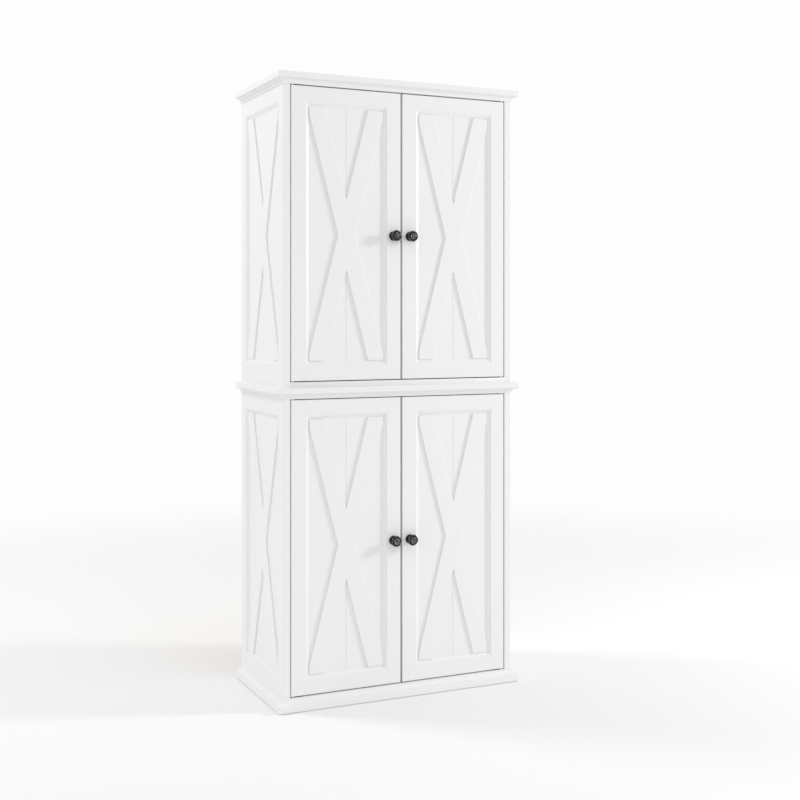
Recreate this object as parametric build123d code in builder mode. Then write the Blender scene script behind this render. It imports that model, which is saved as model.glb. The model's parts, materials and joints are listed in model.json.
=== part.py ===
"""Two-part pantry cabinet with four inset doors, for storage.

The upper cabinet stands on the lower one. X runs to the right, Y to the back and Z up, in millimetres.
X = 0 is the line where the doors meet, Z = 0 the floor, and Y = 0 half way between the knobs' fronts
and the back.
"""

import os
from math import atan2, degrees, hypot, isclose, pi

from build123d import *

# Overall
overall_height = 1829.0
overall_width = 784.0  # over the crown
body_depth = 390.0  # side board, front edge to back edge
crown_overhang = 20.0
knob_projection = 29.0

# Boards
side_thickness = 20.0
panel_thickness = 16.0  # bottom panels, shelves and plinth rails
back_thickness = 5.0
rabbet_width = 10.0
back_play = 0.5
edge_easing = 1.0

# Mouldings
crown_thickness = 17.0
crown_rounding = 1.5
cove_height = 15.5
cove_projection = 17.0
cove_lip = 3.0
base_height = 38.0
base_projection = 18.5
base_fascia = 21.0
base_lip = 4.0
base_floor_gap = 1.5

# Doors
door_thickness = 18.0
door_gap = 2.5  # above and below
side_gap = 3.0  # to the side boards
meeting_gap = 5.5
door_edge_rounding = 2.5
frame_flat = 45.0
stick_width = 12.0  # the moulded inner edge of a frame
stick_quirk = 1.2
stick_land = 1.0
recess_depth = 8.0
inset_back_lip = 4.0  # frame left behind the inset panel
groove_depth = 10.0
inset_play = 0.4
vee_width = 3.0
vee_depth = 1.6
frame_joint_easing = 0.4

# X braces
brace_width = 52.0
brace_thickness = 5.0
brace_corner_inset = 21.0  # from an opening's corner to where a leg's centre line ends
brace_play = 0.2  # to the opening's edges
brace_easing = 0.8

# Pivot hinges
pivot_from_edge = 6.0
pivot_from_front = 5.5
pin_radius = 2.0
pin_clearance = 0.05
pin_engagement = 7.0
leaf_length = 38.0
leaf_width = 9.0
leaf_front_wall = 2.5
leaf_end_wall = 2.0
leaf_thickness = 2.5
washer_radius = 3.0
washer_clearance = 0.1
pin_easing = 0.5
bore_relief = 0.6

# Fasteners
screw_radius = 1.5
screw_head_radius = 2.8
screw_head_height = 1.3
screw_length = 12.0
screw_clearance = 0.05
leaf_screw_places = (14.0, 27.0)  # from the pin
stack_screw_radius = 2.5
stack_head_radius = 4.6
stack_head_height = 2.4
stack_screw_bite = 9.0  # in the lower top panel
stack_screw_inset = 60.0
dowel_radius = 4.0
dowel_in_panel = 21.0
dowel_side_wall = 9.0  # left outside a dowel's hole
dowel_inset = 55.0
dowel_clearance = 0.05

# Knobs
knob_radius = 16.5
knob_from_meeting = 27.0
knob_base_radius = 14.0
knob_base_edge = 2.0
knob_neck_radius = 9.0
knob_neck = (7.5, 10.5)  # from the door
knob_bore_depth = 13.0
knob_screw_radius = 2.0
knob_screw_head_radius = 4.0
knob_screw_head_height = 2.0
knob_hole_clearance = 0.25

# Outline of a knob's head from its back to its front, as shares of the knob's radius and projection
knob_back = (0.93, 0.69)
knob_rim = (1.0, 0.78)
knob_rim_front = (0.87, 0.87)
knob_outer_groove = (0.8, 0.85)
knob_ring_front = (0.46, 0.95)
knob_inner_groove = (0.4, 0.93)

# Catches, shelves, feet and wall brackets
catch_length = 40.0
catch_depth = 14.0
catch_height = 16.0
catch_ear = 7.0
catch_ear_thickness = 4.0
catch_magnet = (20.0, 11.0, 9.0)
catch_from_meeting = 30.0
strike_length = 36.0
strike_screw_inset = 5.0
strike_drop = 1.0  # from a catch's middle
strike_height = 11.0
strike_thickness = 1.2
strike_gap = 0.3
shelf_setback = 15.0
shelf_play = 2.0
shelf_pin_radius = 2.5
shelf_pin_out = 8.0
shelf_hole_wall = 3.0  # left between a pin hole and a recess
shelf_pin_inset = 45.0
shelf_hole_pitch = 32.0
shelf_hole_rows = 5
shelf_hole_clearance = 0.05
foot_height = 4.0
foot_radius = 7.5
foot_easing = 0.8
foot_nail_radius = 1.2
foot_nail_length = 14.0
foot_inset = 40.0
bracket_size = 38.0
bracket_screw_from_wall = 24.0
bracket_hole_from_top = 22.8
bracket_width = 22.0
bracket_thickness = 2.0
bracket_hole_radius = 2.75
bracket_from_centre = 200.0
plinth_thickness = 16.0

# Worked out from the sizes above
inset_thickness = door_thickness - recess_depth - inset_back_lip
shelf_pin_in_side = side_thickness - recess_depth - shelf_hole_wall
dowel_in_side = side_thickness - dowel_side_wall
stack_screw_length = panel_thickness + crown_thickness + stack_screw_bite
body_width = overall_width - 2 * crown_overhang
half_body = body_width / 2
half_inside = half_body - side_thickness
front = -(body_depth + knob_projection) / 2 + knob_projection
back = front + body_depth
panel_back = back - back_thickness
half_back = half_inside + rabbet_width - back_play
crown_stack = cove_height + crown_thickness
door_height = (overall_height - base_height - panel_thickness - 2 * crown_stack - 4 * door_gap) / 2
door_width = half_inside - side_gap - meeting_gap / 2
frame_width = frame_flat + stick_width
door_back = front + door_thickness
upper_bottom = base_height + 2 * door_gap + door_height + crown_stack
pivot_x = half_inside - side_gap - pivot_from_edge
pivot_y = front + pivot_from_front

shelf_front = door_back + shelf_setback
shelf_back = panel_back - shelf_play
shelf_pin_rows = (shelf_front + shelf_pin_inset, shelf_back - shelf_pin_inset)
catch_front = door_back + strike_thickness + strike_gap
catch_body_length = catch_length - 2 * catch_ear
catch_screw_x = (catch_length - catch_ear) / 2

# Countersunk screws: radius of the shank, radius and height of the head, length
small_screw = (screw_radius, screw_head_radius, screw_head_height, screw_length)
large_screw = (stack_screw_radius, stack_head_radius, stack_head_height, stack_screw_length)

# Each cabinet: lowest edge of its sides, top of its bottom panel, underside of its top panel
cabinets = {
    "lower": (foot_height, base_height, base_height + 2 * door_gap + door_height),
    "upper": (
        upper_bottom,
        upper_bottom + panel_thickness,
        upper_bottom + panel_thickness + 2 * door_gap + door_height,
    ),
}
hands = {"left": -1, "right": 1}


def save(part, name):
    """Label a finished piece and write its STEP file."""
    part.label = name
    export_step(part, f"parts/{name}.step")


def stick_curve(start_u, end_u):
    """Ogee between the quirk and the land, as two tangent arcs in the current line builder."""
    middle = ((start_u + end_u) / 2, (stick_quirk + recess_depth - stick_land) / 2)
    first = TangentArc((start_u, stick_quirk), middle, tangent=(1, 0))
    TangentArc(first @ 1, (end_u, recess_depth - stick_land), tangent=first % 1)


def frame_member(start, inward, length, corner):
    """One stile or rail. Its outer edge starts at start, and inward points across it to the opening.

    corner is how far beyond the opening's corner the member runs at each end.
    """
    along = inward.cross(Vector(0, 1, 0))
    section_plane = Plane(origin=start, x_dir=inward, z_dir=along)
    face_plane = Plane(origin=start, x_dir=inward, z_dir=(0, -1, 0))
    groove_top = recess_depth
    groove_bottom = recess_depth + inset_thickness
    groove_u = frame_width - groove_depth
    with BuildPart() as member:
        with BuildSketch(section_plane):
            with BuildLine():
                Polyline((frame_flat, stick_quirk), (frame_flat, 0), (0, 0), (0, door_thickness))
                Polyline(
                    (0, door_thickness),
                    (frame_width, door_thickness),
                    (frame_width, groove_bottom),
                    (groove_u, groove_bottom),
                    (groove_u, groove_top),
                    (frame_width, groove_top),
                    (frame_width, recess_depth - stick_land),
                )
                stick_curve(frame_flat, frame_width)
            make_face()
        extrude(amount=length)
        with BuildSketch(face_plane):
            with Locations((0, length / 2)):
                for end in (-1, 1):
                    far = end * length / 2
                    near = end * (length / 2 - corner)
                    Polygon(
                        (frame_flat, far + end),
                        (frame_width + 1, far + end),
                        (frame_width + 1, near - end * (stick_width + 1)),
                        (frame_flat, near),
                        align=None,
                    )
        extrude(amount=-door_thickness, mode=Mode.SUBTRACT)
        face_edges = member.edges().filter_by_position(Axis.Y, front, front)
        ends = face_edges.filter_by(Axis(start, inward))
        outer = face_edges.filter_by(Axis(start, along)).sort_by(Axis(start, inward))[0]
        if corner:
            fillet([outer] + ends, door_edge_rounding)
        else:
            fillet(outer, door_edge_rounding)
            face_edges = member.edges().filter_by_position(Axis.Y, front, front)
            chamfer(face_edges.filter_by(Axis(start, inward)), frame_joint_easing)
    return member.part


def x_brace(face_plane, width, height):
    """A long leg and two half legs that fill an opening of this size, standing on face_plane.

    The legs are flush where they cross, and only their free edges are eased.
    """
    run = width / 2 - brace_corner_inset
    angle = degrees(atan2(height / 2, run))
    length = 2 * hypot(run, height / 2) + 2 * brace_width
    outward = Axis(face_plane.origin, face_plane.z_dir)
    with BuildPart() as cross:
        with BuildSketch(face_plane):
            Rectangle(length, brace_width, rotation=angle)
            Rectangle(length, brace_width, rotation=-angle)
            Rectangle(width - 2 * brace_play, height - 2 * brace_play, mode=Mode.INTERSECT)
        extrude(amount=brace_thickness)
        chamfer(cross.faces().group_by(outward)[-1].edges(), brace_easing)
    legs = []
    for mode in (Mode.INTERSECT, Mode.SUBTRACT):
        with BuildPart() as leg:
            add(cross.part)
            with BuildSketch(face_plane):
                Rectangle(length, brace_width, rotation=angle)
            extrude(amount=brace_thickness, mode=mode)
        legs.extend(leg.part.solids())
    return Compound(children=legs)


def opening_cutter(face_plane, width, height):
    """The space of a moulded recess in a board's face. Width and height are at the face."""
    corners = [(0, -1), (1, -1), (1, 1), (-1, 1), (-1, -1)]
    loop_points = [face_plane.from_local_coords((x * width / 2, y * height / 2, 0)) for x, y in corners]
    section_plane = Plane(origin=loop_points[0], x_dir=face_plane.y_dir, z_dir=-face_plane.x_dir)
    with BuildPart() as cutter:
        with BuildSketch(face_plane):
            Rectangle(width - 2 * stick_width, height - 2 * stick_width)
        extrude(amount=-recess_depth)
        with BuildLine() as loop:
            Polyline(*loop_points, close=True)
        with BuildSketch(section_plane):
            with BuildLine():
                Polyline(
                    (0, stick_quirk),
                    (0, -edge_easing),
                    (stick_width, -edge_easing),
                    (stick_width, recess_depth - stick_land),
                )
                stick_curve(0, stick_width)
            make_face()
        sweep(path=loop.line, transition=Transition.RIGHT)
    return cutter.part


def moulding_run(section, low):
    """Front and side lengths of a moulding round the body at a height, mitred at the front corners."""
    half = half_body
    with BuildPart() as run:
        with BuildLine() as path:
            Polyline((-half, back, low), (-half, front, low), (half, front, low), (half, back, low))
        with BuildSketch(Plane(origin=(-half, back, low), x_dir=(-1, 0, 0), z_dir=(0, 1, 0))):
            add(section)
        sweep(path=path.line, transition=Transition.RIGHT)
        for hand in hands.values():
            mitre = Plane(origin=(hand * half, front, low), z_dir=(hand, 1, 0))
            split(bisect_by=mitre, keep=Keep.BOTH)
    return run.part


def screw(head_top, direction, clearance=0.0, sizes=small_screw):
    """Countersunk screw, or with a clearance the hole it sits in."""
    shank_radius, head_radius, head_height, length = sizes
    plane = Plane(origin=head_top, x_dir=(1, 0, 0), z_dir=Vector(1, 0, 0).cross(Vector(direction)))
    shank = shank_radius + clearance
    end = length + clearance
    with BuildPart() as turned:
        with BuildSketch(plane):
            Polygon(
                (0, 0),
                (head_radius + clearance, 0),
                (shank, head_height),
                (shank, end),
                (0, end),
                align=None,
            )
        revolve(axis=Axis(head_top, direction))
    return turned.part


def block(low, high):
    """Rectangular solid between two corners, given in any order."""
    size = [abs(b - a) for a, b in zip(low, high)]
    centre = tuple((a + b) / 2 for a, b in zip(low, high))
    with BuildPart() as solid:
        with Locations(centre):
            Box(*size)
    return solid.part


def rod(start, direction, radius, length):
    """Round solid from start along direction."""
    with BuildPart() as solid:
        with BuildSketch(Plane(origin=start, z_dir=direction)):
            Circle(radius)
        extrude(amount=length)
    return solid.part


def pivot_places(cabinet):
    """Hand, end and door edge height of each pivot in a cabinet. End is -1 below the door, 1 above it."""
    floor, ceiling = cabinets[cabinet][1:]
    return [(hand, end, z) for hand in hands.values() for end, z in ((-1, floor), (1, ceiling))]


def leaf_plate(hand, z, into):
    """Plate of a pivot leaf whose face on the gap side is at z. Into is 1 or -1, up or down."""
    edge = half_inside - side_gap - leaf_end_wall
    y = front + leaf_front_wall
    inner_corner = (hand * (edge - leaf_length), y + leaf_width, z + into * leaf_thickness)
    return block((hand * edge, y, z), inner_corner)


def leaf_screws(hand, z, into, clearance=0.0):
    """The two screws of a pivot leaf, or their holes."""
    y = front + leaf_front_wall + leaf_width / 2
    places = [(hand * (pivot_x - place), y, z) for place in leaf_screw_places]
    return [screw(place, (0, 0, into), clearance) for place in places]


def stack_screws(clearance=0.0):
    """Screws from the upper cabinet's floor into the lower cabinet's top panel, or their holes."""
    x = half_inside - stack_screw_inset
    top = cabinets["upper"][1]
    rows = (front + stack_screw_inset, back - stack_screw_inset)
    places = [(hand * x, y, top) for hand in hands.values() for y in rows]
    return [screw(place, (0, 0, -1), clearance, large_screw) for place in places]


def dowel_places(cabinet):
    """Hand, Y and Z of each dowel between a cabinet's sides and its bottom and top panels."""
    floor, ceiling = cabinets[cabinet][1:]
    heights = (floor - panel_thickness / 2, ceiling + cove_height / 2)
    rows = (front + dowel_inset, back - dowel_inset)
    return [(hand, y, z) for hand in hands.values() for y in rows for z in heights]


def dowel(hand, y, z, clearance=0.0):
    """Dowel between a side and a panel, or the hole for both its ends."""
    outer = half_inside + dowel_in_side + clearance
    length = dowel_in_side + dowel_in_panel + 2 * clearance
    return rod((hand * outer, y, z), (-hand, 0, 0), dowel_radius + clearance, length)


def shelf_bottom(cabinet):
    """Height of the underside of a cabinet's shelf."""
    floor, ceiling = cabinets[cabinet][1:]
    return (floor + ceiling - panel_thickness) / 2


def foot_places():
    """Where the feet stand, as X and Y: under both sides and the middle of both plinth rails."""
    side_x = half_body - side_thickness / 2
    rows = (front + foot_inset, back - foot_inset)
    sides = [(hand * side_x, y) for hand in (-1, 1) for y in rows]
    return sides + [(0, front + plinth_thickness / 2), (0, panel_back - plinth_thickness / 2)]


def foot_nail(x, y):
    """Nail of a foot, from its top up into the wood."""
    return rod((x, y, foot_height), (0, 0, 1), foot_nail_radius, foot_nail_length)


def catch_screws(hand, ceiling, clearance=0.0):
    """The two screws of a catch, or their holes."""
    y = catch_front + catch_depth / 2
    z = ceiling - catch_ear_thickness
    places = [(hand * catch_from_meeting + side * catch_screw_x, y, z) for side in (-1, 1)]
    return [screw(place, (0, 0, 1), clearance) for place in places]


def bracket_screws(clearance=0.0):
    """Screws that hold the wall brackets to the upper top panel, or their holes."""
    z = cabinets["upper"][2] - bracket_thickness
    y = panel_back - bracket_screw_from_wall
    places = [(hand * bracket_from_centre, y, z) for hand in hands.values()]
    return [screw(place, (0, 0, 1), clearance) for place in places]


def wall_holes():
    """Holes for the wall screws, through the brackets and the back panel."""
    z = cabinets["upper"][2] - bracket_hole_from_top
    y = panel_back - bracket_thickness
    length = bracket_thickness + back_thickness
    places = [(hand * bracket_from_centre, y, z) for hand in hands.values()]
    return [rod(place, (0, 1, 0), bracket_hole_radius, length) for place in places]


def strike_centre(hand, ceiling):
    """Middle of a strike plate's face against the door."""
    return hand * catch_from_meeting, door_back, ceiling - catch_height / 2 - strike_drop


def strike_screws(hand, ceiling, clearance=0.0):
    """The two screws of a strike plate, or their holes."""
    x, y, z = strike_centre(hand, ceiling)
    half = strike_length / 2 - strike_screw_inset
    places = [(x + side * half, y + strike_thickness, z) for side in (-1, 1)]
    return [screw(place, (0, -1, 0), clearance) for place in places]


def make_side(cabinet, side):
    """Side board with its moulded recess, and the X brace in it."""
    hand = hands[side]
    low, floor, ceiling = cabinets[cabinet]
    middle_z = (floor + ceiling) / 2
    opening_width = body_depth - 2 * frame_flat
    opening_height = door_height - 2 * frame_flat
    centre = (hand * half_body, (front + back) / 2, middle_z)
    face = Plane(origin=centre, x_dir=(0, hand, 0), z_dir=(hand, 0, 0))
    with BuildPart() as board:
        add(block((hand * half_inside, front, low), (hand * half_body, back, ceiling + cove_height)))
        corners = board.edges().filter_by(Axis.Z).group_by(Axis.X)[0 if hand < 0 else -1]
        chamfer(corners, edge_easing)
        add(opening_cutter(face, opening_width, opening_height), mode=Mode.SUBTRACT)
        add(
            block(
                (hand * half_inside, panel_back, floor - panel_thickness),
                (hand * (half_inside + rabbet_width), back, ceiling + cove_height),
            ),
            mode=Mode.SUBTRACT,
        )
        for place_hand, y, z in dowel_places(cabinet):
            if place_hand == hand:
                add(dowel(hand, y, z, dowel_clearance), mode=Mode.SUBTRACT)
        middle_row = shelf_bottom(cabinet) - shelf_pin_radius
        hole_radius = shelf_pin_radius + shelf_hole_clearance
        for y in shelf_pin_rows:
            for row in range(shelf_hole_rows):
                z = middle_row + (row - shelf_hole_rows // 2) * shelf_hole_pitch
                start = (hand * half_inside, y, z)
                add(rod(start, (hand, 0, 0), hole_radius, shelf_pin_in_side), mode=Mode.SUBTRACT)
        if cabinet == "lower":
            for x, y in foot_places():
                if x * hand > 0:
                    add(foot_nail(x, y), mode=Mode.SUBTRACT)
    save(board.part, f"{cabinet}_side_{side}")

    recess = face.offset(-recess_depth)
    brace = x_brace(recess, opening_width - 2 * stick_width, opening_height - 2 * stick_width)
    save(brace, f"{cabinet}_side_brace_{side}")


def make_panels(cabinet):
    """Bottom, top and back panels, and the crown board."""
    floor, ceiling = cabinets[cabinet][1:]
    crown_bottom = ceiling + cove_height
    with BuildPart() as bottom_panel:
        add(block((-half_inside, front, floor - panel_thickness), (half_inside, panel_back, floor)))
        for hand, end, z in pivot_places(cabinet):
            if end < 0:
                add(leaf_plate(hand, z, -1), mode=Mode.SUBTRACT)
                add(leaf_screws(hand, z, -1, screw_clearance), mode=Mode.SUBTRACT)
        if cabinet == "upper":
            add(stack_screws(screw_clearance), mode=Mode.SUBTRACT)
        add([dowel(*place, dowel_clearance) for place in dowel_places(cabinet)], mode=Mode.SUBTRACT)
    save(bottom_panel.part, f"{cabinet}_bottom_panel")

    with BuildPart() as top_panel:
        add(block((-half_inside, front, ceiling), (half_inside, panel_back, crown_bottom)))
        for hand, end, z in pivot_places(cabinet):
            if end > 0:
                add(leaf_plate(hand, z, 1), mode=Mode.SUBTRACT)
                add(leaf_screws(hand, z, 1, screw_clearance), mode=Mode.SUBTRACT)
                add(catch_screws(hand, ceiling, screw_clearance), mode=Mode.SUBTRACT)
        if cabinet == "lower":
            add(stack_screws(screw_clearance), mode=Mode.SUBTRACT)
        else:
            add(bracket_screws(screw_clearance), mode=Mode.SUBTRACT)
        add([dowel(*place, dowel_clearance) for place in dowel_places(cabinet)], mode=Mode.SUBTRACT)
    save(top_panel.part, f"{cabinet}_top_panel")

    with BuildPart() as crown_board:
        half_width = overall_width / 2
        add(
            block(
                (-half_width, front - crown_overhang, crown_bottom),
                (half_width, back, crown_bottom + crown_thickness),
            )
        )
        rounded = crown_board.edges() - crown_board.faces().sort_by(Axis.Y)[-1].edges()
        fillet(rounded, crown_rounding)
        if cabinet == "lower":
            add(stack_screws(screw_clearance), mode=Mode.SUBTRACT)
    save(crown_board.part, f"{cabinet}_crown_board")

    with BuildPart() as back_panel:
        add(block((-half_back, panel_back, floor - panel_thickness), (half_back, back, crown_bottom)))
        if cabinet == "upper":
            add(wall_holes(), mode=Mode.SUBTRACT)
    save(back_panel.part, f"{cabinet}_back_panel")


def make_mouldings():
    """Cove mouldings under both crown boards, and the base moulding."""
    with BuildSketch() as cove:
        with BuildLine():
            start = (cove_lip, cove_lip / 2)
            end = (cove_projection, cove_height - cove_lip / 2)
            Polyline(end, (cove_projection, cove_height), (0, cove_height), (0, 0), (cove_lip, 0), start)
            TangentArc(start, end, tangent=(0, 1))
        make_face()
    for cabinet, edges in cabinets.items():
        save(moulding_run(cove.sketch, edges[2]), f"{cabinet}_cove_moulding")

    with BuildSketch() as base:
        with BuildLine():
            top = base_height - base_floor_gap
            start = (base_projection - stick_quirk, base_fascia)
            end = (base_lip, top - stick_quirk)
            Polyline(end, (base_lip, top), (0, top), (0, 0), (base_projection, 0))
            Polyline((base_projection, 0), (base_projection, base_fascia), start)
            TangentArc(start, end, tangent=(-1, 0))
        make_face()
    save(moulding_run(base.sketch, base_floor_gap), "base_moulding")


def make_shelves():
    """One shelf in each cabinet, resting on its pins."""
    half_shelf = half_inside - shelf_play
    with BuildPart() as shelves:
        for cabinet in cabinets:
            z = shelf_bottom(cabinet)
            add(block((-half_shelf, shelf_front, z), (half_shelf, shelf_back, z + panel_thickness)))
        chamfer(shelves.faces().group_by(Axis.Y)[0].edges().filter_by(Axis.X), edge_easing)
    save(shelves.part, "shelves")


def make_base():
    """Plinth rails under the lower bottom panel, and the feet."""
    top = base_height - panel_thickness
    with BuildPart() as plinth_rails:
        for rail_front in (front, panel_back - plinth_thickness):
            rail_back = rail_front + plinth_thickness
            add(block((-half_inside, rail_front, foot_height), (half_inside, rail_back, top)))
        add([foot_nail(x, y) for x, y in foot_places() if x == 0], mode=Mode.SUBTRACT)
    save(plinth_rails.part, "plinth_rails")

    with BuildPart() as feet:
        for x, y in foot_places():
            add(rod((x, y, 0), (0, 0, 1), foot_radius, foot_height))
            add(foot_nail(x, y))
        chamfer(feet.faces().group_by(Axis.Z)[0].edges(), foot_easing)
    save(feet.part, "feet")


def make_hardware():
    """Pivot leaves and washers, screws, dowels, catches, shelf pins and wall brackets of the body."""
    pivots = [place for cabinet in cabinets for place in pivot_places(cabinet)]
    ceilings = [edges[2] for edges in cabinets.values()]
    with BuildPart() as leaves:
        for hand, end, z in pivots:
            add(leaf_plate(hand, z, end))
            add(leaf_screws(hand, z, end, screw_clearance), mode=Mode.SUBTRACT)
            add(rod((hand * pivot_x, pivot_y, z), (0, 0, -end), pin_radius, door_gap + pin_engagement))
        tip_area = pi * pin_radius**2
        tips = leaves.faces().filter_by(lambda face: isclose(face.area, tip_area, rel_tol=0.001))
        chamfer(tips.edges(), pin_easing)
    save(leaves.part, "pivot_leaves")

    with BuildPart() as washers:
        for hand, end, z in pivots:
            with BuildSketch(Plane.XY.offset(z)):
                with Locations((hand * pivot_x, pivot_y)):
                    Circle(washer_radius)
                    Circle(pin_radius + washer_clearance, mode=Mode.SUBTRACT)
            extrude(amount=-end * (door_gap - washer_clearance))
    save(washers.part, "pivot_washers")

    with BuildPart() as screws:
        for hand, end, z in pivots:
            add(leaf_screws(hand, z, end))
        for hand in hands.values():
            for ceiling in ceilings:
                add(catch_screws(hand, ceiling))
        add(bracket_screws())
    save(screws.part, "body_screws")

    with BuildPart() as stacking:
        add(stack_screws())
    save(stacking.part, "stacking_screws")

    with BuildPart() as dowels:
        add([dowel(*place) for cabinet in cabinets for place in dowel_places(cabinet)])
    save(dowels.part, "dowels")

    with BuildPart() as shelf_pins:
        for cabinet in cabinets:
            z = shelf_bottom(cabinet) - shelf_pin_radius
            length = shelf_pin_in_side + shelf_pin_out
            for hand in hands.values():
                start_x = hand * (half_inside + shelf_pin_in_side)
                add([rod((start_x, y, z), (-hand, 0, 0), shelf_pin_radius, length) for y in shelf_pin_rows])
    save(shelf_pins.part, "shelf_pins")

    with BuildPart() as catches:
        for hand in hands.values():
            for ceiling in ceilings:
                x = hand * catch_from_meeting
                catch_back = catch_front + catch_depth
                shapes = ((catch_length, catch_ear_thickness), (catch_body_length, catch_height))
                for length, height in shapes:
                    low_corner = (x - length / 2, catch_front, ceiling - height)
                    add(block(low_corner, (x + length / 2, catch_back, ceiling)))
                add(catch_magnet_block(hand, ceiling), mode=Mode.SUBTRACT)
                add(catch_screws(hand, ceiling, screw_clearance), mode=Mode.SUBTRACT)
    save(catches.part, "magnetic_catches")

    with BuildPart() as magnets:
        add([catch_magnet_block(hand, ceiling) for hand in hands.values() for ceiling in ceilings])
    save(magnets.part, "catch_magnets")

    with BuildPart() as brackets:
        ceiling = cabinets["upper"][2]
        for hand in hands.values():
            x = hand * bracket_from_centre
            near, far = x - bracket_width / 2, x + bracket_width / 2
            low_y, low_z = panel_back - bracket_size, ceiling - bracket_size
            add(block((near, low_y, ceiling - bracket_thickness), (far, panel_back, ceiling)))
            add(block((near, panel_back - bracket_thickness, low_z), (far, panel_back, ceiling)))
        add(wall_holes(), mode=Mode.SUBTRACT)
        add(bracket_screws(screw_clearance), mode=Mode.SUBTRACT)
    save(brackets.part, "wall_brackets")


def catch_magnet_block(hand, ceiling):
    """Magnet in the front of a catch, level with the strike plate."""
    x, y, z = strike_centre(hand, ceiling)
    width, depth, height = catch_magnet
    low_corner = (x - width / 2, catch_front, z - height / 2)
    return block(low_corner, (x + width / 2, catch_front + depth, z + height / 2))


def knob_screw(x, z, clearance=0.0):
    """Screw from the back of a door into its knob, or its hole."""
    start = (x, door_back, z)
    return rod(start, (0, -1, 0), knob_screw_radius + clearance, door_thickness + knob_bore_depth - 1)


def turned_knob(x, z):
    """Turned knob: a base, a neck, and a head with a ring and a dome on its face."""
    outline = (knob_back, knob_rim, knob_rim_front, knob_outer_groove, knob_ring_front, knob_inner_groove)
    head = [(across * knob_radius, along * knob_projection) for across, along in outline]
    bore = knob_screw_radius + screw_clearance
    pole = (0, knob_projection)
    base_edge = (knob_base_radius, knob_base_edge)
    neck_low, neck_high = [(knob_neck_radius, along) for along in knob_neck]
    with BuildPart() as knob:
        with BuildSketch(Plane(origin=(x, front, z), x_dir=(1, 0, 0), z_dir=(0, 0, -1))):
            with BuildLine():
                Polyline((bore, knob_bore_depth), (bore, 0), (knob_base_radius, 0), base_edge)
                TangentArc(base_edge, neck_low, tangent=(-1, 0.4))
                Line(neck_low, neck_high)
                TangentArc(neck_high, head[0], tangent=(0, 1))
                ThreePointArc(head[0], head[1], head[2])
                Line(head[2], head[3])
                TangentArc(head[3], head[4], tangent=(-1, 1.4))
                Line(head[4], head[5])
                TangentArc(pole, head[5], tangent=(1, 0))
                Polyline(pole, (0, knob_bore_depth), (bore, knob_bore_depth))
            make_face()
        revolve(axis=Axis((x, front, z), (0, -1, 0)))
    return knob.part


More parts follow.
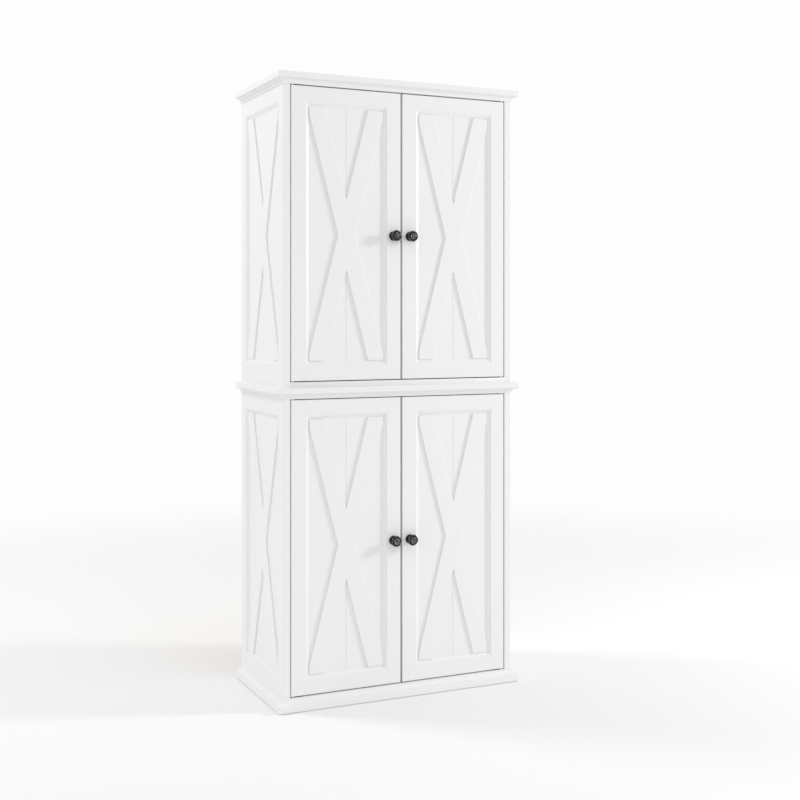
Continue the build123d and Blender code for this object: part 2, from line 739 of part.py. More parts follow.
def make_door(cabinet, side):
    """Frame, inset panel, X brace, knob, pivot leaves, strike plate and screws of one door."""
    hand = hands[side]
    floor, ceiling = cabinets[cabinet][1:]
    name = f"{cabinet}_{side}_door"
    bottom, top = floor + door_gap, ceiling - door_gap
    middle_x = hand * (meeting_gap / 2 + door_width / 2)
    middle_z = (bottom + top) / 2
    left, right = middle_x - door_width / 2, middle_x + door_width / 2
    rail_length = door_width - 2 * frame_flat
    across, up = Vector(1, 0, 0), Vector(0, 0, 1)
    pivots = [(end, bottom if end < 0 else top) for end in (-1, 1)]
    knob_x = hand * knob_from_meeting

    members = [
        frame_member(Vector(left, front, bottom), across, door_height, frame_flat),
        frame_member(Vector(right, front, top), -across, door_height, frame_flat),
        frame_member(Vector(right - frame_flat, front, bottom), up, rail_length, 0),
        frame_member(Vector(left + frame_flat, front, top), -up, rail_length, 0),
    ]
    frame = []
    for member in members:
        with BuildPart() as machined:
            add(member)
            for end, z in pivots:
                add(leaf_plate(hand, z, -end), mode=Mode.SUBTRACT)
                add(leaf_screws(hand, z, -end, screw_clearance), mode=Mode.SUBTRACT)
                bore = pin_radius + bore_relief
                depth = pin_engagement + bore_relief
                add(rod((hand * pivot_x, pivot_y, z), (0, 0, -end), bore, depth), mode=Mode.SUBTRACT)
            add(knob_screw(knob_x, middle_z, knob_hole_clearance), mode=Mode.SUBTRACT)
            add(strike_screws(hand, ceiling, screw_clearance), mode=Mode.SUBTRACT)
        frame.append(machined.part.solid())
    save(Compound(children=frame), f"{name}_frame")

    inset_x = door_width - 2 * (frame_width - groove_depth + inset_play)
    inset_z = door_height - 2 * (frame_width - groove_depth + inset_play)
    face = Plane(origin=(middle_x, front + recess_depth, middle_z), x_dir=(1, 0, 0), z_dir=(0, -1, 0))
    with BuildPart() as inset:
        with BuildSketch(face):
            Rectangle(inset_x, inset_z)
        extrude(amount=-inset_thickness)
        with BuildSketch(Plane.XY.offset(middle_z - inset_z / 2)):
            with Locations((middle_x, front + recess_depth)):
                Polygon((-vee_width / 2, 0), (vee_width / 2, 0), (0, vee_depth), align=None)
        extrude(amount=inset_z, mode=Mode.SUBTRACT)
    save(inset.part, f"{name}_panel")

    opening_x = door_width - 2 * frame_width
    opening_z = door_height - 2 * frame_width
    save(x_brace(face, opening_x, opening_z), f"{name}_brace")
    save(turned_knob(knob_x, middle_z), f"{name}_knob")

    with BuildPart() as leaves:
        for end, z in pivots:
            add(leaf_plate(hand, z, -end))
            add(leaf_screws(hand, z, -end, screw_clearance), mode=Mode.SUBTRACT)
            bore = pin_radius + pin_clearance
            add(rod((hand * pivot_x, pivot_y, z), (0, 0, -end), bore, leaf_thickness), mode=Mode.SUBTRACT)
    save(leaves.part, f"{name}_pivot_leaves")

    with BuildPart() as strike:
        x, y, z = strike_centre(hand, ceiling)
        half_x, half_z = strike_length / 2, strike_height / 2
        add(block((x - half_x, y, z - half_z), (x + half_x, y + strike_thickness, z + half_z)))
        chamfer(strike.edges().filter_by(Axis.Y), strike_thickness)
        add(strike_screws(hand, ceiling, screw_clearance), mode=Mode.SUBTRACT)
    save(strike.part, f"{name}_strike_plate")

    with BuildPart() as screws:
        for end, z in pivots:
            add(leaf_screws(hand, z, -end))
        add(strike_screws(hand, ceiling))
        add(knob_screw(knob_x, middle_z))
        head = knob_screw_head_radius
        add(rod((knob_x, door_back, middle_z), (0, 1, 0), head, knob_screw_head_height))
    save(screws.part, f"{name}_screws")


os.makedirs("parts", exist_ok=True)
for cabinet_name in cabinets:
    make_panels(cabinet_name)
    for side_name in hands:
        make_side(cabinet_name, side_name)
        make_door(cabinet_name, side_name)
make_mouldings()
make_shelves()
make_base()
make_hardware()
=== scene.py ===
import math

import bpy
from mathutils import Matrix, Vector
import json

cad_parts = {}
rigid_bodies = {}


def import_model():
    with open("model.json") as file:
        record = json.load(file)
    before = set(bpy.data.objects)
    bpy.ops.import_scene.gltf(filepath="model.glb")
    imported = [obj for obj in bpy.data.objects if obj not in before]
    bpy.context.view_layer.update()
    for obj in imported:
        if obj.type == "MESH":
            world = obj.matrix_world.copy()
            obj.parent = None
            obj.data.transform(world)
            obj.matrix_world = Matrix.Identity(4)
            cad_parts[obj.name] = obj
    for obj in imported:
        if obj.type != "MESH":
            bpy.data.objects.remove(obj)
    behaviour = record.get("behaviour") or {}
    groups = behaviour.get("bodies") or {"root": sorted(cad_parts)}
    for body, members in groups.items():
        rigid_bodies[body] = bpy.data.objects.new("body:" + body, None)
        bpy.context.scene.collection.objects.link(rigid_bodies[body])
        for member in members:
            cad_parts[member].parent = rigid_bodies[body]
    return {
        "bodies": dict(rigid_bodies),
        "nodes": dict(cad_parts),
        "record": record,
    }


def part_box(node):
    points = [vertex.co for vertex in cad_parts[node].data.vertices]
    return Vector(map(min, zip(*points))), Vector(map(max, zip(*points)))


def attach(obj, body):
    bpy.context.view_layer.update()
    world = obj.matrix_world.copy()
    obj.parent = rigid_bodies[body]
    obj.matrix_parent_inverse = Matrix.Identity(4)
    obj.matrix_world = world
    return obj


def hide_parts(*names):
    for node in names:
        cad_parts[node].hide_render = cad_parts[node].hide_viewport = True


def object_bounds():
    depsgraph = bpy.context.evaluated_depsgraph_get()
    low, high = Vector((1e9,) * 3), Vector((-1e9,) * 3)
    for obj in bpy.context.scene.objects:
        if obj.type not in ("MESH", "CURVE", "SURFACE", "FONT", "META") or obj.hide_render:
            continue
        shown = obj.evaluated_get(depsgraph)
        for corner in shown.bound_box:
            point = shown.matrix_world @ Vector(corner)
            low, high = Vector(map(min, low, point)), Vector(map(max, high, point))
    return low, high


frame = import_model()
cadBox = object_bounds()  # the whole CAD model's lowest and highest corner
nodes = frame["nodes"]
bodies = frame["record"]["behaviour"]["bodies"]
bodyOf = {node: body for body, members in bodies.items() for node in members}
slotOf = {part["node"]: part["material_slot"] for part in frame["record"]["subparts"]}
mm = 0.001
print("frame loaded:", len(nodes), "nodes")


# camera: level, at chest height, standing to the left of the doors
view = {
    "place": (-1.5685, -3.5328, 1.1278),
    "turn": 25.0,  # degrees to the right of straight on
    "lens": 55.9,
    "sensor": 36.0,
    "lower": 0.1034,  # the frame reaches further down than up, as a share of its width
    "sees": 60.0,  # as far as this
}


def makeCamera():
    data = bpy.data.cameras.new("camera")
    data.lens = view["lens"]
    data.sensor_width = view["sensor"]
    data.shift_y = -view["lower"]
    data.clip_end = view["sees"]
    camera = bpy.data.objects.new("camera", data)
    camera.location = view["place"]
    camera.rotation_euler = (math.radians(90), 0, math.radians(-view["turn"]))
    bpy.context.scene.collection.objects.link(camera)
    bpy.context.scene.camera = camera


# shader maths: Wire wraps a socket, so that sums of sockets can be written as sums
class Wire:
    def __init__(self, recipe, socket):
        self.recipe = recipe
        self.socket = socket

    def maths(self, operation, first, second):
        return self.recipe.node("ShaderNodeMath", {"operation": operation}, [first, second])

    def __add__(self, other):
        return self.maths("ADD", self, other)

    def __radd__(self, other):
        return self.maths("ADD", other, self)

    def __sub__(self, other):
        return self.maths("SUBTRACT", self, other)

    def __rsub__(self, other):
        return self.maths("SUBTRACT", other, self)

    def __mul__(self, other):
        return self.maths("MULTIPLY", self, other)

    def __rmul__(self, other):
        return self.maths("MULTIPLY", other, self)

    def __abs__(self):
        return self.recipe.node("ShaderNodeMath", {"operation": "ABSOLUTE"}, [self])

    def __gt__(self, other):
        return self.maths("GREATER_THAN", self, other)


# a material's nodes, written as calls
class Recipe:
    def __init__(self, name):
        self.material = bpy.data.materials.new(name)
        self.material.use_nodes = True
        self.tree = self.material.node_tree
        self.shader = self.tree.nodes["Principled BSDF"]
        self.place = self.node("ShaderNodeTexCoord", {}, [], "Object")

    def feed(self, socket, value):
        if isinstance(value, Wire):
            self.tree.links.new(value.socket, socket)
        elif value is not None:
            socket.default_value = value

    def node(self, kind, settings, inputs, output=0):
        made = self.tree.nodes.new(kind)
        for key, value in settings.items():
            if key == "stops":  # a colour ramp's (place, grey) pairs
                elements = made.color_ramp.elements
                for index, (place, tone) in enumerate(value):
                    element = elements[index] if index < 2 else elements.new(place)
                    element.position = place
                    element.color = (tone, tone, tone, 1)
            else:
                setattr(made, key, value)
        pairs = inputs.items() if isinstance(inputs, dict) else enumerate(inputs)
        for key, value in pairs:
            self.feed(made.inputs[key], value)
        return Wire(self, made.outputs[output])

    def noise(self, scale, detail=2.0, roughness=0.5, stretch=(1, 1, 1)):  # scale per metre
        where = self.node("ShaderNodeMapping", {}, {"Vector": self.place, "Scale": stretch})
        words = {"Vector": where, "Scale": scale, "Detail": detail, "Roughness": roughness}
        return self.node("ShaderNodeTexNoise", {}, words, "Fac")

    def ramp(self, fac, *stops):
        return self.node("ShaderNodeValToRGB", {"stops": stops}, [fac])

    def along(self, axis):  # the place along one axis, in metres
        return self.node("ShaderNodeSeparateXYZ", {}, [self.place], axis)

    def facing(self, axis):  # how far the surface faces along an axis, from -1 to 1
        normal = self.node("ShaderNodeNewGeometry", {}, [], "Normal")
        return self.node("ShaderNodeSeparateXYZ", {}, [normal], axis)

    def mix(self, fac, first, second):  # sockets 6 and 7 and output 2 are the colour ones
        words = {"Factor": fac, 6: first, 7: second}
        return self.node("ShaderNodeMix", {"data_type": "RGBA"}, words, 2)

    def bump(self, height):  # height in metres
        words = {"Height": height, "Strength": 1.0, "Distance": 1.0}
        self.feed(self.shader.inputs["Normal"], self.node("ShaderNodeBump", {}, words, "Normal"))

    def set(self, **values):  # one word per socket, with _ for a space
        for key, value in values.items():
            self.feed(self.shader.inputs[key.replace("_", " ")], value)


def grey(tone):
    return (tone, tone, tone, 1)


def shade(colour, factor=1.0):
    return (*(part * factor for part in colour), 1)


# finishes
paint = {
    "tone": 0.88,
    "toneSpread": 0.01,
    "roughness": 0.38,
    "roughnessSpread": 0.08,
    "cloudScale": 3.0,
    "speckScale": 160.0,
    "speckShare": 0.2,
    "peelScale": 420.0,  # orange peel left by a spray gun
    "peelHeight": 0.00005,
    "fibreScale": 60.0,  # fibres of the board under the paint
    "fibreStretch": (1, 1, 0.05),
    "fibreHeight": 0.00003,
}


def satinPaint():
    recipe = Recipe("satinPaint")
    cloud = recipe.noise(paint["cloudScale"], 3.0)
    speck = recipe.noise(paint["speckScale"])
    peel = recipe.noise(paint["peelScale"], 2.0, 0.55)
    fibre = recipe.noise(paint["fibreScale"], 4.0, 0.6, paint["fibreStretch"])
    low = paint["tone"] - paint["toneSpread"]
    high = paint["tone"] + paint["toneSpread"]
    blotch = cloud * (1 - paint["speckShare"]) + speck * paint["speckShare"]
    colour = recipe.mix(blotch, grey(low), grey(high))
    gloss = paint["roughness"] + (speck + cloud - 1.0) * paint["roughnessSpread"]
    recipe.set(Base_Color=colour, Roughness=gloss, Specular_IOR_Level=0.5)
    recipe.bump(peel * paint["peelHeight"] + fibre * paint["fibreHeight"])
    return recipe.material


board = {
    "facing": 0.82,  # the white face inside the cabinet
    "facingSpread": 0.01,
    "facingRoughness": 0.42,
    "facingHeight": 0.00002,
    "raw": (0.50, 0.38, 0.26),  # pressed fibre, seen from behind
    "rawDark": 0.72,
    "rawLight": 1.25,
    "rawRoughness": 0.77,
    "rawHeight": 0.00012,  # the screen pattern that the press leaves
    "fibreScale": 240.0,
    "cloudScale": 6.0,
    "cloudShare": 0.3,
}


def backBoard():
    recipe = Recipe("backBoard")
    fibre = recipe.noise(board["fibreScale"], 5.0, 0.65)
    cloud = recipe.noise(board["cloudScale"], 3.0)
    outside = recipe.facing("Y") > 0.5
    blotch = fibre * (1 - board["cloudShare"]) + cloud * board["cloudShare"]
    rawTones = [shade(board["raw"], board[end]) for end in ("rawDark", "rawLight")]
    raw = recipe.mix(blotch, *rawTones)
    low = board["facing"] - board["facingSpread"]
    high = board["facing"] + board["facingSpread"]
    white = recipe.mix(cloud, grey(low), grey(high))
    dulling = board["rawRoughness"] - board["facingRoughness"]
    gloss = board["facingRoughness"] + outside * dulling
    recipe.set(Base_Color=recipe.mix(outside, white, raw), Roughness=gloss)
    recipe.bump(fibre * board["rawHeight"] * outside + fibre * board["facingHeight"])
    return recipe.material


bronze = {
    "dark": (0.009, 0.0088, 0.0086),
    "wearAndHighlight": (0.56, 0.545, 0.53),  # painted highlight on the dome and rings, and where hands have rubbed it
    "roughness": 0.2,
    "roughnessSpread": 0.1,
    "wearAndHighlightGloss": 0.05,
    "coat": 0.3,
    "coatRoughness": 0.06,
    "cloudScale": 110.0,
    "cloudHeight": 0.00001,
    "speckScale": 900.0,
    "speckHeight": 0.000004,
    "patches": ((0.42, 0.35), (0.62, 1.0)),  # how the cloud breaks up the wear and the painted highlight
    "rings": (  # painted highlight and wear from the knob's middle to its rim: share of the radius, amount
        (0.0, 1.0),
        (0.12, 0.4),
        (0.30, 0.0),
        (0.43, 0.7),
        (0.50, 0.7),
        (0.57, 0.0),
        (0.80, 0.0),
        (0.86, 0.6),
        (0.92, 0.3),
        (1.0, 0.0),
    ),
}


def darkBronze():
    recipe = Recipe("darkBronze")
    cloud = recipe.noise(bronze["cloudScale"], 3.0, 0.6)
    speck = recipe.noise(bronze["speckScale"], 2.0, 0.6)
    boxes = [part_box(node) for node in nodes if node.endswith("_knob")]
    radius = (boxes[0][1].x - boxes[0][0].x) / 2
    fromMiddle = abs(boxes[0][0].x + boxes[0][1].x) / 2
    heights = sorted({round((low.z + high.z) / 2, 4) for low, high in boxes})
    across = abs(recipe.along("X")) - fromMiddle
    lowest, highest = [abs(recipe.along("Z") - height) for height in heights]
    upward = recipe.node("ShaderNodeMath", {"operation": "MINIMUM"}, [lowest, highest])
    squares = across * across + upward * upward
    spread = recipe.node("ShaderNodeMath", {"operation": "SQRT"}, [squares])
    # painted highlight: lighter metal on the dome, the middle ring and the rim, mixed with rubbed
    # wear
    rings = recipe.ramp(spread * (1 / radius), *bronze["rings"])
    highlightAndWear = rings * recipe.ramp(cloud, *bronze["patches"])
    colour = recipe.mix(highlightAndWear, shade(bronze["dark"]), shade(bronze["wearAndHighlight"]))
    gloss = bronze["roughness"] + (speck - cloud) * bronze["roughnessSpread"]
    gloss = gloss - highlightAndWear * bronze["wearAndHighlightGloss"]
    recipe.set(Base_Color=colour, Metallic=1.0, Roughness=gloss)
    recipe.set(Coat_Weight=bronze["coat"], Coat_Roughness=bronze["coatRoughness"])
    recipe.bump(speck * bronze["speckHeight"] + cloud * bronze["cloudHeight"])
    return recipe.material


steel = {
    "tone": (0.60, 0.61, 0.63),
    "stain": (0.52, 0.50, 0.44),  # the yellow cast of the passivated zinc
    "roughness": 0.3,
    "drawnScale": 500.0,  # fine lines left by drawing and rolling
    "drawnStretch": (0.06, 1, 1),
    "drawnSpread": 0.2,
    "drawnHeight": 0.00001,
    "cloudScale": 70.0,
    "cloudSpread": 0.1,
}


def platedSteel():
    recipe = Recipe("platedSteel")
    cloud = recipe.noise(steel["cloudScale"], 3.0, 0.6)
    drawn = recipe.noise(steel["drawnScale"], 3.0, 0.6, steel["drawnStretch"])
    colour = recipe.mix(cloud, shade(steel["tone"]), shade(steel["stain"]))
    gloss = steel["roughness"] + (drawn - 0.5) * steel["drawnSpread"]
    gloss = gloss + (cloud - 0.5) * steel["cloudSpread"]
    recipe.set(Base_Color=colour, Metallic=1.0, Roughness=gloss)
    recipe.bump(drawn * steel["drawnHeight"])
    return recipe.material


plastic = {
    "low": (0.80, 0.80, 0.78),
    "high": (0.86, 0.86, 0.845),
    "roughness": 0.4,
    "roughnessSpread": 0.15,
    "grainScale": 1300.0,
    "grainHeight": 0.00003,
    "cloudScale": 25.0,
}


def whitePlastic():
    recipe = Recipe("whitePlastic")
    grain = recipe.noise(plastic["grainScale"], 2.0, 0.5)
    cloud = recipe.noise(plastic["cloudScale"])
    colour = recipe.mix(cloud, shade(plastic["low"]), shade(plastic["high"]))
    gloss = plastic["roughness"] + grain * plastic["roughnessSpread"]
    recipe.set(Base_Color=colour, Roughness=gloss)
    recipe.bump(grain * plastic["grainHeight"])
    return recipe.material


magnet = {
    "low": 0.06,
    "high": 0.16,
    "metal": 0.4,
    "roughness": 0.62,
    "roughnessSpread": 0.2,
    "grainScale": 1500.0,
    "pits": ((0.3, 0.0), (0.45, 1.0)),  # the lowest part of the grain is open
    "pitDepth": 0.00004,
}


def sinteredMagnet():
    recipe = Recipe("sinteredMagnet")
    grain = recipe.noise(magnet["grainScale"], 4.0, 0.7)
    colour = recipe.mix(grain, grey(magnet["low"]), grey(magnet["high"]))
    gloss = magnet["roughness"] - grain * magnet["roughnessSpread"]
    recipe.set(Base_Color=colour, Metallic=magnet["metal"], Roughness=gloss)
    recipe.bump(recipe.ramp(grain, *magnet["pits"]) * magnet["pitDepth"])
    return recipe.material


beech = {
    "low": (0.60, 0.40, 0.24),
    "high": (0.80, 0.62, 0.42),
    "roughness": 0.62,
    "roughnessSpread": 0.12,
    "grainScale": 260.0,
    "grainStretch": (0.05, 1, 1),
    "grainHeight": 0.00005,
    "fleckScale": 700.0,
    "fleckStretch": (0.12, 1, 1),
    "fleckShare": 0.25,
}


def rawBeech():
    recipe = Recipe("rawBeech")
    grain = recipe.noise(beech["grainScale"], 4.0, 0.6, beech["grainStretch"])
    fleck = recipe.noise(beech["fleckScale"], 2.0, 0.5, beech["fleckStretch"])
    blend = grain * (1 - beech["fleckShare"]) + fleck * beech["fleckShare"]
    colour = recipe.mix(blend, shade(beech["low"]), shade(beech["high"]))
    gloss = beech["roughness"] + grain * beech["roughnessSpread"]
    recipe.set(Base_Color=colour, Roughness=gloss)
    recipe.bump(grain * beech["grainHeight"])
    return recipe.material


# lights and floor
studio = {
    "sky": 0.785,  # soft light from all round
    "backdrop": 0.985,
    "keyPower": 72.0,
    "keyPlace": (3.9, -1.75, 2.2),
    "keySize": 0.7,
    "rimPower": 44.0,
    "rimPlace": (-2.6, 1.9, 3.6),
    "rimSize": 1.2,
    "fillPower": 4.0,
    "fillPlace": (-3.6, -2.0, 2.2),
    "fillSize": 2.0,
    "floorTone": 0.905,
    "floorSpread": 0.004,
    "floorSpeckScale": 40.0,
    "floorRoughness": 0.75,
    "floorFadeFrom": 1.5,
    "floorFadeTo": 4.0,
    "floorSides": 96,
}


def makeSky():
    world = bpy.data.worlds.new("studio")
    world.use_nodes = True
    bpy.context.scene.world = world
    tree = world.node_tree
    sky = tree.nodes["Background"]
    sky.inputs["Color"].default_value = grey(studio["sky"])
    backdrop = tree.nodes.new("ShaderNodeBackground")
    backdrop.inputs["Color"].default_value = grey(studio["backdrop"])
    path = tree.nodes.new("ShaderNodeLightPath")
    mix = tree.nodes.new("ShaderNodeMixShader")
    tree.links.new(path.outputs["Is Camera Ray"], mix.inputs[0])
    tree.links.new(sky.outputs[0], mix.inputs[1])
    tree.links.new(backdrop.outputs[0], mix.inputs[2])
    tree.links.new(mix.outputs[0], tree.nodes["World Output"].inputs["Surface"])


def makeLight(name):
    data = bpy.data.lights.new(name, "AREA")
    data.shape = "DISK"
    data.size = studio[name + "Size"]
    data.energy = studio[name + "Power"]
    light = bpy.data.objects.new(name, data)
    light.location = studio[name + "Place"]
    aim = Vector((0, 0, cadBox[1][2] / 2)) - Vector(studio[name + "Place"])
    light.rotation_euler = aim.to_track_quat("-Z", "Y").to_euler()
    bpy.context.scene.collection.objects.link(light)


def makeFloor():
    bpy.ops.object.select_all(action="DESELECT")
    bpy.ops.mesh.primitive_circle_add(
        vertices=studio["floorSides"], radius=studio["floorFadeTo"], fill_type="NGON"
    )
    floor = bpy.context.object
    floor.name = "floor"
    recipe = Recipe("floor")
    speck = recipe.noise(studio["floorSpeckScale"], 3.0)
    low = studio["floorTone"] - studio["floorSpread"]
    high = studio["floorTone"] + studio["floorSpread"]
    colour = recipe.mix(speck, grey(low), grey(high))
    recipe.set(Base_Color=colour, Roughness=studio["floorRoughness"])
    reach = recipe.node("ShaderNodeVectorMath", {"operation": "LENGTH"}, [recipe.place], "Value")
    words = {
        "Value": reach,
        "From Min": studio["floorFadeFrom"],
        "From Max": studio["floorFadeTo"],
        "To Min": 1.0,
        "To Max": 0.0,
    }
    fade = recipe.node("ShaderNodeMapRange", {"interpolation_type": "SMOOTHSTEP"}, words, "Result")
    recipe.set(Alpha=fade)
    floor.data.materials.append(recipe.material)


makeCamera()
makeSky()
for lightName in ("key", "rim", "fill"):
    makeLight(lightName)
makeFloor()
bpy.context.scene.view_settings.view_transform = "Standard"
print("studio ready")

finishes = {
    "painted_wood": satinPaint(),
    "back_board": backBoard(),
    "dark_bronze": darkBronze(),
    "plated_steel": platedSteel(),
    "white_plastic": whitePlastic(),
    "magnet": sinteredMagnet(),
    "beech": rawBeech(),
}
for name, node in nodes.items():
    for spot in node.material_slots:
        spot.material = finishes[slotOf[name]]
print("finishes given")


# workshop: small helpers for the pieces that follow
workshop = {
    "mergeWithin": 0.002 * mm,
    "mergeCopyWithin": 0.005 * mm,  # a CAD mesh is loose triangles
    "flat": math.radians(1),  # faces that meet at less are one face
    "sharp": math.radians(40),  # edges that meet at more are rounded
}


def pick(piece):
    bpy.ops.object.select_all(action="DESELECT")
    piece.select_set(True)
    bpy.context.view_layer.objects.active = piece


def settle(piece, smoothAngle):  # closed, outward, and with its place in its mesh
    pick(piece)
    bpy.ops.object.transform_apply(location=True, rotation=True, scale=True)
    bpy.ops.object.mode_set(mode="EDIT")
    bpy.ops.mesh.select_all(action="SELECT")
    bpy.ops.mesh.remove_doubles(threshold=workshop["mergeWithin"])
    bpy.ops.mesh.normals_make_consistent(inside=False)
    bpy.ops.object.mode_set(mode="OBJECT")
    bpy.ops.object.shade_smooth_by_angle(angle=math.radians(smoothAngle))


def hand(piece, name, node):  # names a piece and gives it the body and finish of a CAD node
    piece.name = name
    piece.data.name = name
    piece.data.materials.clear()
    piece.data.materials.append(finishes[slotOf[node]])
    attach(piece, bodyOf[node])


def join(parts):
    bpy.ops.object.select_all(action="DESELECT")
    for part in parts:
        part.select_set(True)
    bpy.context.view_layer.objects.active = parts[0]
    if len(parts) > 1:
        bpy.ops.object.join()
    return bpy.context.object


def turn(outline, sides, scale=(1.0, 1.0)):
    # a turned piece on the Z axis, drawn downwards: (radius, depth) pairs, multiplied by the scale
    points = [(radius * scale[0], depth * scale[1]) for radius, depth in outline]
    bpy.ops.object.select_all(action="DESELECT")
    bpy.ops.mesh.primitive_circle_add(
        vertices=sides, radius=points[0][0], fill_type="NGON", location=(0, 0, -points[0][1])
    )
    piece = bpy.context.object
    bpy.ops.object.transform_apply(location=True)
    bpy.ops.object.mode_set(mode="EDIT")
    bpy.ops.mesh.select_all(action="SELECT")
    for (lastRadius, lastDepth), (radius, depth) in zip(points, points[1:]):
        step = {"value": (0, 0, lastDepth - depth)}
        bpy.ops.mesh.extrude_region_move(TRANSFORM_OT_translate=step)
        ratio = radius / lastRadius
        bpy.ops.transform.resize(value=(ratio, ratio, 1), center_override=(0, 0, -depth))
    bpy.ops.object.mode_set(mode="OBJECT")
    return piece


def stand(piece, place, direction):  # points a turned piece along a direction
    piece.rotation_euler = Vector(direction).to_track_quat("-Z", "Y").to_euler()
    piece.location = place


def twin(piece):  # a copy with its own mesh
    copy = bpy.data.objects.new(piece.name, piece.data.copy())
    bpy.context.scene.collection.objects.link(copy)
    return copy


def loosePoints(node):  # the corners of each separate solid of a CAD node
    copy = twin(nodes[node])
    pick(copy)
    bpy.ops.object.mode_set(mode="EDIT")
    bpy.ops.mesh.select_all(action="SELECT")
    bpy.ops.mesh.remove_doubles(threshold=workshop["mergeCopyWithin"])
    bpy.ops.mesh.separate(type="LOOSE")
    bpy.ops.object.mode_set(mode="OBJECT")
    parts = list(bpy.context.selected_objects)
    found = [[vertex.co.copy() for vertex in part.data.vertices] for part in parts]
    found.sort(key=lambda points: [round(value, 5) for value in middle(points)])
    for part in parts:
        bpy.data.objects.remove(part)
    return found


def corners(points):
    low = Vector([min(point[axis] for point in points) for axis in range(3)])
    high = Vector([max(point[axis] for point in points) for axis in range(3)])
    return low, high


def middle(points):
    low, high = corners(points)
    return (low + high) / 2


# knobs: turned, with a ring and a dome on the face
knob = {
    "sides": 72,
    "smooth": 60.0,
    "outline": (  # from the dome back to the base: shares of the radius and of the whole length
        (0.01, 0.0),
        (0.10, 0.002),
        (0.20, 0.012),
        (0.30, 0.032),
        (0.37, 0.058),
        (0.40, 0.074),
        (0.425, 0.066),
        (0.46, 0.052),
        (0.53, 0.053),
        (0.62, 0.067),
        (0.70, 0.092),
        (0.765, 0.126),
        (0.80, 0.150),
        (0.835, 0.139),
        (0.87, 0.130),
        (0.92, 0.139),
        (0.97, 0.168),
        (0.995, 0.205),
        (1.0, 0.235),
        (0.985, 0.275),
        (0.93, 0.320),
        (0.83, 0.390),
        (0.71, 0.460),
        (0.61, 0.530),
        (0.56, 0.600),
        (0.545, 0.660),
        (0.55, 0.720),
        (0.58, 0.790),
        (0.66, 0.860),
        (0.76, 0.905),
        (0.83, 0.932),
        (0.848, 0.950),
        (0.848, 1.0),
    ),
}


def makeKnob(door):
    node = door + "_knob"
    low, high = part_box(node)
    radius = (high.x - low.x) / 2
    piece = turn(knob["outline"], knob["sides"], (radius, high.y - low.y))
    stand(piece, ((low.x + high.x) / 2, low.y, (low.z + high.z) / 2), (0, 1, 0))
    settle(piece, knob["smooth"])
    hand(piece, door + "_turned_knob", node)
    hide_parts(node)


# screws: turned, then the cross is cut in the head
screw = {
    "sides": 28,
    "smooth": 30.0,
    "crossTaper": 0.45,  # width at the bottom of the cross, as a share
    "headEdge": 0.5,  # depth within which a head's widest point is looked for
}
screwKinds = {  # outline, longest length, and the cross: length, width and depth
    "wood": {
        "outline": (
            (2.55, 0.0),
            (2.8, 0.12),
            (1.6, 1.25),
            (1.5, 1.5),
            (1.5, 9.5),
            (0.9, 11.0),
            (0.2, 12.0),
        ),
        "upTo": 20.0,
        "cross": (3.2, 0.62, 1.1),
    },
    "machine": {
        "outline": (
            (1.8, 0.0),
            (3.0, 0.25),
            (3.75, 0.8),
            (4.0, 1.4),
            (4.0, 2.0),
            (2.0, 2.0),
            (2.0, 32.0),
        ),
        "upTo": 36.0,
        "cross": (4.4, 0.9, 1.3),
    },
    "stacking": {
        "outline": (
            (4.3, 0.0),
            (4.6, 0.2),
            (2.7, 2.3),
            (2.5, 2.8),
            (2.5, 37.0),
            (1.4, 40.0),
            (0.3, 42.0),
        ),
        "upTo": 60.0,
        "cross": (5.2, 1.0, 1.9),
    },
}


def makeCutter(size):  # half of a cross, narrower at its bottom
    bpy.ops.object.select_all(action="DESELECT")
    scale = (size[0], size[1], size[2] * 2)
    bpy.ops.mesh.primitive_cube_add(size=1.0, location=(0, 0, 0), scale=scale)
    cutter = bpy.context.object
    bpy.ops.object.transform_apply(scale=True)
    bpy.ops.object.mode_set(mode="EDIT")
    bpy.ops.mesh.select_all(action="DESELECT")
    bpy.ops.object.mode_set(mode="OBJECT")
    for vertex in cutter.data.vertices:
        vertex.select = vertex.co.z < 0
    taper = screw["crossTaper"]
    bpy.ops.object.mode_set(mode="EDIT")
    bpy.ops.transform.resize(value=(taper, taper, 1), center_override=(0, 0, -size[2]))
    bpy.ops.object.mode_set(mode="OBJECT")
    return cutter


def makeScrew(kind):
    pattern = turn(screwKinds[kind]["outline"], screw["sides"], (mm, mm))
    settle(pattern, screw["smooth"])
    length, width, depth = (value * mm for value in screwKinds[kind]["cross"])
    for size in ((length, width, depth), (width, length, depth)):
        cutter = makeCutter(size)
        pick(pattern)
        cut = pattern.modifiers.new("cross", "BOOLEAN")
        cut.operation = "DIFFERENCE"
        cut.solver = "EXACT"
        cut.object = cutter
        bpy.ops.object.modifier_apply(modifier=cut.name)
        bpy.data.objects.remove(cutter)
    return pattern


def axisVector(axis):
    return Vector([float(index == axis) for index in range(3)])


def readScrew(points):  # head's middle, direction of the shank, and kind of a CAD screw
    low, high = corners(points)
    size = high - low
    axis = max(range(3), key=lambda index: size[index])
    centre = middle(points)
    reach = []
    for level in (low[axis], high[axis]):
        edge = [point for point in points if abs(point[axis] - level) < screw["headEdge"] * mm]
        reach.append(max((point - centre).cross(axisVector(axis)).length for point in edge))
    headIsLow = reach[0] > reach[1]
    head = centre.copy()
    head[axis] = low[axis] if headIsLow else high[axis]
    direction = axisVector(axis) * (1 if headIsLow else -1)
    kind = next(kind for kind, facts in screwKinds.items() if size[axis] < facts["upTo"] * mm)
    return head, direction, kind


def makeScrewSet(node, patterns):
    parts = []
    for points in loosePoints(node):
        head, direction, kind = readScrew(points)
        part = twin(patterns[kind])
        stand(part, head, direction)
        parts.append(part)
    piece = join(parts)
    settle(piece, screw["smooth"])
    hand(piece, node + "_with_cross_heads", node)
    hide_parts(node)


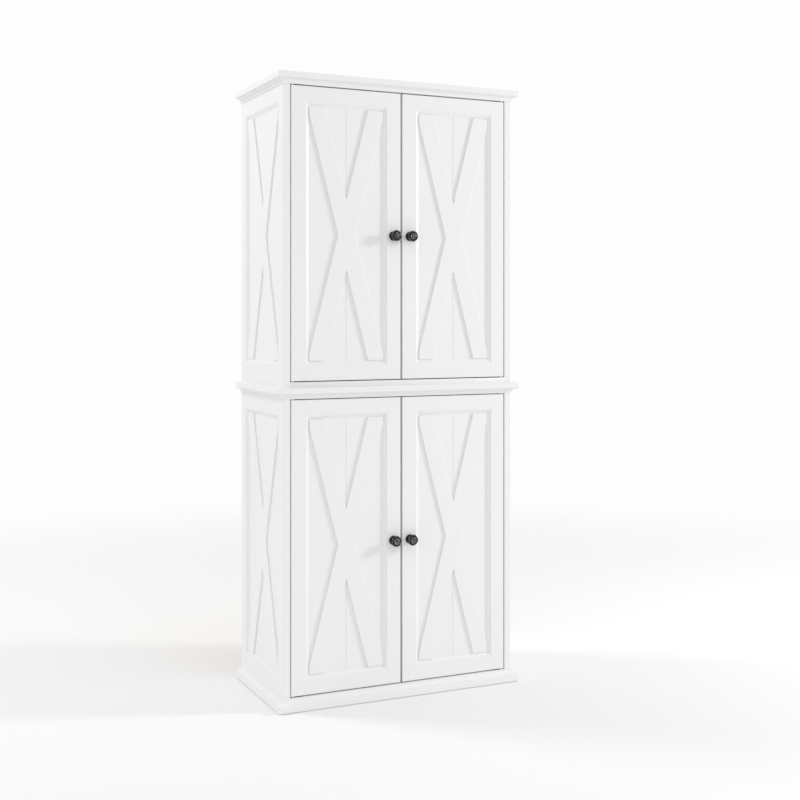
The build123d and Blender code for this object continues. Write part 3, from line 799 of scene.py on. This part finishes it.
# shelf pins with a collar against the side board
shelfPin = {
    "sides": 24,
    "smooth": 30.0,
    "collar": 3.5,
    "collarThickness": 1.2,
    "collarEasing": 0.3,
    "tipRounding": 0.6,
    "endChamfer": 0.5,
}


def makeShelfPins():
    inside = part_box("upper_side_right")[0].x
    parts = []
    for points in loosePoints("shelf_pins"):
        low, high = corners(points)
        side = 1 if low.x > 0 else -1
        radius = (high.z - low.z) / 2 / mm
        length = (high.x - low.x) / mm
        tip = low.x if side > 0 else high.x
        outLength = abs(inside - abs(tip)) / mm
        rounding, chamfer = shelfPin["tipRounding"], shelfPin["endChamfer"]
        collar, easing = shelfPin["collar"], shelfPin["collarEasing"]
        collarFrom = outLength - shelfPin["collarThickness"]
        outline = (
            (radius - rounding, 0.0),
            (radius - rounding * 0.3, rounding * 0.3),
            (radius, rounding),
            (radius, collarFrom),
            (collar - easing, collarFrom),
            (collar, collarFrom + easing),
            (collar, outLength),
            (radius, outLength),
            (radius, length - chamfer),
            (radius - chamfer, length),
        )
        part = turn(outline, shelfPin["sides"], (mm, mm))
        stand(part, (tip, (low.y + high.y) / 2, (low.z + high.z) / 2), (side, 0, 0))
        parts.append(part)
    piece = join(parts)
    settle(piece, shelfPin["smooth"])
    hand(piece, "collared_shelf_pins", "shelf_pins")
    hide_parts("shelf_pins")


# feet: nailed glides with a rounded sole
glide = {
    "sides": 40,
    "smooth": 35.0,
    "outline": (  # radius and height above the floor
        (5.4, 0.0),
        (6.6, 0.3),
        (7.3, 1.0),
        (7.5, 1.9),
        (7.5, 3.6),
        (7.1, 4.0),
        (1.2, 4.0),
        (1.2, 16.4),
        (0.2, 18.0),
    ),
}


def makeFeet():
    parts = []
    for points in loosePoints("feet"):
        low, high = corners(points)
        part = turn(glide["outline"], glide["sides"], (mm, mm))
        stand(part, ((low.x + high.x) / 2, (low.y + high.y) / 2, low.z), (0, 0, 1))
        parts.append(part)
    piece = join(parts)
    settle(piece, glide["smooth"])
    hand(piece, "nailed_glides", "feet")
    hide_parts("feet")


# stamped and moulded pieces: the CAD shape with its edges rounded
softSmooth = math.radians(35)
softEdges = {  # rounding in millimetres and its steps
    "magnetic_catches": (0.9, 3),
    "catch_magnets": (0.25, 2),
    "wall_brackets": (0.35, 2),
    "pivot_leaves": (0.2, 2),
    "pivot_washers": (0.2, 2),
    "shelves": (0.5, 2),
    "plinth_rails": (0.5, 2),
    "lower_bottom_panel": (0.4, 2),
    "upper_bottom_panel": (0.4, 2),
    "lower_top_panel": (0.4, 2),
    "upper_top_panel": (0.4, 2),
}
softDoorEdges = {
    "strike_plate": (0.25, 2),
    "pivot_leaves": (0.2, 2),
}


def makeSoft(node, rounding, steps):
    piece = twin(nodes[node])
    pick(piece)
    bpy.ops.object.mode_set(mode="EDIT")
    bpy.ops.mesh.select_all(action="SELECT")
    bpy.ops.mesh.remove_doubles(threshold=workshop["mergeCopyWithin"])
    bpy.ops.mesh.dissolve_limited(angle_limit=workshop["flat"])
    bpy.ops.object.mode_set(mode="OBJECT")
    bpy.ops.mesh.customdata_custom_splitnormals_clear()
    bevel = piece.modifiers.new("edges", "BEVEL")
    bevel.width = rounding * mm
    bevel.segments = steps
    bevel.limit_method = "ANGLE"
    bevel.angle_limit = workshop["sharp"]
    bevel.use_clamp_overlap = True
    bpy.ops.object.modifier_apply(modifier=bevel.name)
    bpy.ops.object.shade_smooth_by_angle(angle=softSmooth)
    hand(piece, node + "_eased", node)
    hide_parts(node)


# nails that hold the back panels in their rabbets
backNail = {
    "sides": 16,
    "smooth": 35.0,
    "outline": (
        (0.6, 0.0),
        (1.6, 0.15),
        (2.1, 0.45),
        (2.2, 0.8),
        (0.7, 0.8),
        (0.7, 18.0),
        (0.1, 19.0),
    ),
    "fromEdge": 5.0,
    "spacing": 120.0,
    "proud": 0.8,
}


def makeBackNails(cabinet):
    low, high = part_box(cabinet + "_back_panel")
    inset = backNail["fromEdge"] * mm
    left, right = low.x + inset, high.x - inset
    bottom, top = low.z + inset, high.z - inset
    across = max(2, round((right - left) / (backNail["spacing"] * mm)))
    upward = max(2, round((top - bottom) / (backNail["spacing"] * mm)))
    xs = [left + (right - left) * index / across for index in range(across + 1)]
    zs = [bottom + (top - bottom) * index / upward for index in range(1, upward)]
    places = [(x, z) for x in xs for z in (bottom, top)]
    places += [(x, z) for z in zs for x in (left, right)]
    pattern = turn(backNail["outline"], backNail["sides"], (mm, mm))
    parts = []
    for x, z in places:
        part = twin(pattern)
        stand(part, (x, high.y + backNail["proud"] * mm, z), (0, -1, 0))
        parts.append(part)
    bpy.data.objects.remove(pattern)
    piece = join(parts)
    settle(piece, backNail["smooth"])
    hand(piece, cabinet + "_back_nails", "stacking_screws")  # steel, and on the same body


doors = [body for body in frame["bodies"] if body.endswith("_door")]
for door in doors:
    makeKnob(door)
print("knobs turned:", len(doors))
patterns = {kind: makeScrew(kind) for kind in screwKinds}
makeScrewSet("body_screws", patterns)
makeScrewSet("stacking_screws", patterns)
for door in doors:
    makeScrewSet(door + "_screws", patterns)
for pattern in patterns.values():
    bpy.data.objects.remove(pattern)
print("screws made")
makeShelfPins()
makeFeet()
for node, (rounding, steps) in softEdges.items():
    makeSoft(node, rounding, steps)
for door in doors:
    for part, (rounding, steps) in softDoorEdges.items():
        makeSoft(door + "_" + part, rounding, steps)
print("hardware made")
for cabinet in ("lower", "upper"):
    makeBackNails(cabinet)
print("back panels nailed")
